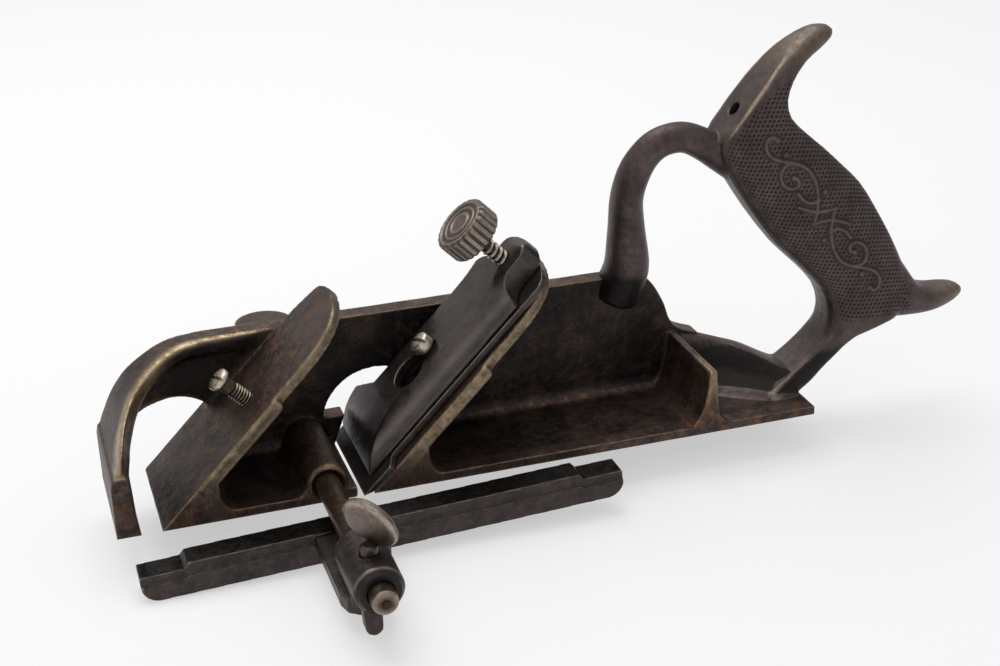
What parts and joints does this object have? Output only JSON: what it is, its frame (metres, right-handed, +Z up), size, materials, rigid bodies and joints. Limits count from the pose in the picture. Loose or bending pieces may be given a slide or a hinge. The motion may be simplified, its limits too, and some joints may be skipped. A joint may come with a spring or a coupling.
{
  "type": "rabbet plane",
  "caption": "Cast-iron rabbet and fillister plane with two beds, bullnose foot, closed handle, lever cap, bar fence on a rod and depth stop.",
  "frame": {"origin": "centre of the sole's flat underside", "axes": "+X from the nose to the heel, +Y from the open side to the wall, +Z up from the sole"},
  "size_m": [0.2774, 0.1235, 0.1314],
  "materials": {
    "patinated_casting": "worn bronze-brown patina with traces of black japanning",
    "japanned_casting": "dark worn japanning",
    "tool_steel": "dark oxidised steel with rubbed edges",
    "screw_steel": "worn steel",
    "plated_steel": "dull plated steel"
  },
  "bodies": {
    "casting": {"body_casting": "patinated_casting", "handle": "patinated_casting", "main_cap_screw": "screw_steel", "front_cap_screw": "screw_steel"},
    "iron": {"cutting_iron": "tool_steel"},
    "cap": {"lever_cap": "japanned_casting"},
    "cap_knob": {"cap_thumb_screw": "screw_steel"},
    "rod": {"fence_rod": "tool_steel"},
    "fence_bar": {"fence": "japanned_casting"},
    "fence_knob": {"fence_thumb_screw": "plated_steel"},
    "stop": {"depth_stop": "japanned_casting"},
    "stop_knob": {"depth_stop_screw": "plated_steel"}
  },
  "joints": [
    {"name": "iron_slide", "type": "slide", "parent": "casting", "child": "iron", "axis": [0.7071, 0, 0.7071], "range_m": [-0.001, 0.004]},
    {"name": "cap_slide", "type": "slide", "parent": "casting", "child": "cap", "axis": [0.7071, 0, 0.7071], "range_m": [0, 0.006]},
    {"name": "cap_knob_turn", "type": "hinge", "parent": "cap", "child": "cap_knob", "pos_m": [0.01872, -0.00313, 0.05332], "axis": [-0.7071, 0, 0.7071], "range_deg": [-360, 360]},
    {"name": "rod_turn", "type": "hinge", "parent": "casting", "child": "rod", "pos_m": [-0.0478, 0, 0.0057], "axis": [0, 1, 0], "continuous": true},
    {"name": "fence_slide", "type": "slide", "parent": "rod", "child": "fence_bar", "axis": [0, 1, 0], "range_m": [-0.005, 0.006]},
    {"name": "fence_knob_turn", "type": "hinge", "parent": "fence_bar", "child": "fence_knob", "pos_m": [-0.0478, -0.06913, 0.0057], "axis": [-0.0436, 0, 0.999], "range_deg": [-360, 360]},
    {"name": "stop_slide", "type": "slide", "parent": "casting", "child": "stop", "axis": [0, 0, 1], "range_m": [0, 0.012]},
    {"name": "stop_knob_turn", "type": "hinge", "parent": "casting", "child": "stop_knob", "pos_m": [-0.0543, 0.0194, 0.0355], "axis": [0, 1, 0], "range_deg": [-360, 360]}
  ]
}
